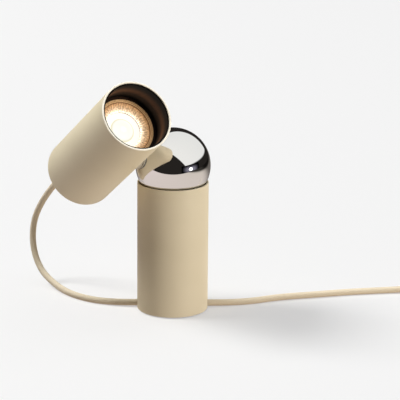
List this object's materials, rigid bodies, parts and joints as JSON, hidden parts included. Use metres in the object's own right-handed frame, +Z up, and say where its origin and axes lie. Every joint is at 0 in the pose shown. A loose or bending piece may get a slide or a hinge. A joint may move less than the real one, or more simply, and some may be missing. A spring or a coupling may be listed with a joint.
{
  "type": "tabletop searchlight lamp",
  "caption": "Tabletop spot lamp: a cylindrical head held by a magnet seat against a polished ball in the top of a weighted round post, with mains cord, in-line switch and plug.",
  "frame": {"origin": "centre of the post's foot, on the table", "axes": "+Z up along the post; the lamp's mouth faces -Y and up, and the head leans on the ball's -X side; the cord leaves towards +X"},
  "size_m": [0.5002, 0.1685, 0.2093],
  "materials": {
    "powder_coat": "fine matte powder coat",
    "polished_ball": "mirror polished",
    "black_enamel": "semi-gloss black",
    "iron": "as cast",
    "rubber": "matte",
    "bare_aluminium": "turned",
    "steel": "zinc plated",
    "nickel": "nickel plated",
    "nylon": "natural nylon",
    "ceramic": "unglazed",
    "lamp_shell": "satin",
    "lamp_gold": "satin gold",
    "lamp_amber": "ribbed, translucent amber",
    "lamp_white": "translucent white, lit",
    "lamp_glass": "clear lens",
    "dark_plastic": "satin",
    "beige_plastic": "satin",
    "rocker_plastic": "gloss",
    "cord_fabric": "fine woven sleeve",
    "hook_tape": "woven tape"
  },
  "bodies": {
    "post": {"post_tube": "powder_coat", "ballast": "iron", "foot_pad_front": "rubber", "foot_pad_rear": "rubber", "cord_clip": "nylon", "clip_screws": "steel", "top_collar": "bare_aluminium", "friction_washer": "nylon", "cord_table": "cord_fabric", "cord_past_switch": "cord_fabric", "cord_tail": "cord_fabric", "cord_coil": "cord_fabric", "coil_tie": "hook_tape", "switch_base": "beige_plastic", "switch_cover": "beige_plastic", "plug_body": "beige_plastic", "plug_pins": "nickel"},
    "ball": {"ball_shell": "polished_ball", "ball_spindle": "steel", "spring_washer": "steel", "spindle_nut": "steel", "cord_drop_lower": "cord_fabric"},
    "seat": {"seat_pad": "nylon", "magnet_cup": "steel", "disc_magnet": "nickel", "seat_washer": "steel", "seat_screw": "steel", "cord_drop_middle": "cord_fabric"},
    "head": {"head_tube": "powder_coat", "pivot_boss": "steel", "rear_cap": "powder_coat", "inner_sleeve": "black_enamel", "lamp_ring": "black_enamel", "lamp_holder": "ceramic", "holder_stud": "steel", "stud_screw": "steel", "bulb_body": "lamp_shell", "bulb_rim": "lamp_gold", "bulb_reflector": "lamp_amber", "bulb_diffuser": "lamp_white", "bulb_lens": "lamp_glass", "bulb_pins": "steel", "cord_gland": "beige_plastic", "gland_nut": "dark_plastic", "inner_lead": "cord_fabric", "terminal_block": "dark_plastic", "cord_drop_upper": "cord_fabric"},
    "rocker": {"switch_rocker": "rocker_plastic"}
  },
  "joints": [
    {"name": "ball_turn", "type": "hinge", "parent": "post", "child": "ball", "pos_m": [0, 0, 0.126], "axis": [0, 0, 1], "range_deg": [-45, 45], "deforming": ["cord_drop_lower"]},
    {"name": "seat_tilt", "type": "hinge", "parent": "ball", "child": "seat", "pos_m": [0, 0, 0.126], "axis": [-0.3223, 0.9466, 0], "range_deg": [-12, 50], "deforming": ["cord_drop_middle"]},
    {"name": "head_turn", "type": "hinge", "parent": "seat", "child": "head", "pos_m": [-0.05761, -0.01961, 0.14379], "axis": [-0.9086, -0.3093, 0.2807], "range_deg": [-40, 40], "deforming": ["cord_drop_upper"]},
    {"name": "rocker_tip", "type": "hinge", "parent": "post", "child": "rocker", "pos_m": [0.25, 0.0465, 0.012], "axis": [0, 1, 0], "range_deg": [0, 12]}
  ]
}
